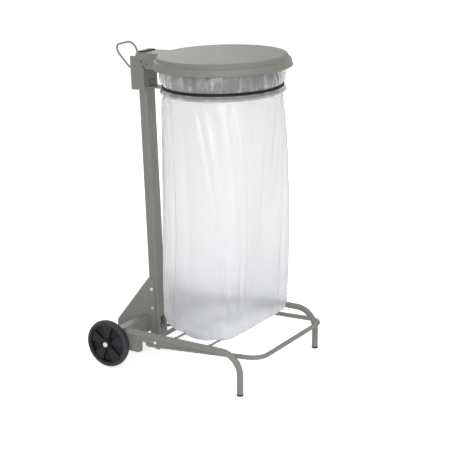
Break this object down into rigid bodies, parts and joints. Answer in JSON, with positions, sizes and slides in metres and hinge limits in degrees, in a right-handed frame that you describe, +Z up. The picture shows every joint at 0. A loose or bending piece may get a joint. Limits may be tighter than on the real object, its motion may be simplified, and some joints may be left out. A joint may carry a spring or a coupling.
{
  "type": "bin bag holder",
  "caption": "Wheeled bin bag holder: a leaning column carries a round collar with a bag, a hinged lid lifted by a foot pedal, and a push handle.",
  "frame": {"origin": "on the floor under the middle of the whole object's box", "axes": "+Z up, -Y to the front where the pedal is, +X along the axle to the right of someone who stands at the pedal and looks at the column"},
  "size_m": [0.522, 0.648, 0.9817],
  "materials": {
    "frame_paint": "satin grey powder coat with a fine orange peel",
    "lid_paint": "satin grey powder coat",
    "zinc_steel": "bright zinc plate",
    "black_plastic": "matt moulded",
    "buffer_rubber": "matt moulded rubber",
    "strap_elastic": "matt elastic band",
    "bag_film": "thin translucent white film, creased",
    "tyre_rubber": "matt solid rubber",
    "wheel_plastic": "moulded plastic, slightly glossy"
  },
  "bodies": {
    "frame": {"column": "frame_paint", "base_bracket": "frame_paint", "bracket_rivets": "zinc_steel", "left_rail": "frame_paint", "right_rail": "frame_paint", "left_foot_cap": "black_plastic", "right_foot_cap": "black_plastic", "left_side_plate": "frame_paint", "right_side_plate": "frame_paint", "axle_beam": "frame_paint", "axle": "zinc_steel", "left_axle_washer": "zinc_steel", "right_axle_washer": "zinc_steel", "left_axle_cap": "zinc_steel", "right_axle_cap": "zinc_steel", "front_rest_rod": "frame_paint", "rear_rest_rod": "frame_paint", "left_pedal_lug": "frame_paint", "right_pedal_lug": "frame_paint", "left_pivot_bolt": "zinc_steel", "right_pivot_bolt": "zinc_steel", "left_pivot_nut": "zinc_steel", "right_pivot_nut": "zinc_steel", "rod_guides": "black_plastic", "head_housing": "frame_paint", "hinge_pin": "zinc_steel", "push_handle": "frame_paint", "collar_carrier": "frame_paint", "collar": "frame_paint", "elastic_strap": "strap_elastic", "bag": "bag_film"},
    "lid": {"lid": "lid_paint", "lever_pin": "zinc_steel", "neck_rivets": "zinc_steel", "stop_pad": "buffer_rubber"},
    "pedal": {"pedal_bar": "frame_paint"},
    "link": {"link_rod": "zinc_steel"},
    "left_wheel": {"left_tyre": "tyre_rubber", "left_wheel_disc": "wheel_plastic"},
    "right_wheel": {"right_tyre": "tyre_rubber", "right_wheel_disc": "wheel_plastic"}
  },
  "joints": [
    {"name": "pedal_hinge", "type": "hinge", "parent": "frame", "child": "pedal", "pos_m": [0, 0.036, 0.1075], "axis": [1, 0, 0], "range_deg": [0, 10.8]},
    {"name": "link_slide", "type": "slide", "parent": "frame", "child": "link", "axis": [0, 0.0454, 0.999], "range_m": [0, 0.026]},
    {"name": "lid_hinge", "type": "hinge", "parent": "frame", "child": "lid", "pos_m": [0, 0.23366, 0.93584], "axis": [-1, 0, 0], "range_deg": [0, 80]},
    {"name": "left_wheel_spin", "type": "hinge", "parent": "frame", "child": "left_wheel", "pos_m": [-0.24, 0.206, 0.075], "axis": [1, 0, 0], "continuous": true},
    {"name": "right_wheel_spin", "type": "hinge", "parent": "frame", "child": "right_wheel", "pos_m": [0.24, 0.206, 0.075], "axis": [1, 0, 0], "continuous": true}
  ],
  "couplings": [
    {"joint": "link_slide", "follows": "pedal_hinge", "m_per_rad": 0.1378},
    {"joint": "lid_hinge", "follows": "pedal_hinge", "ratio": 7.4}
  ]
}
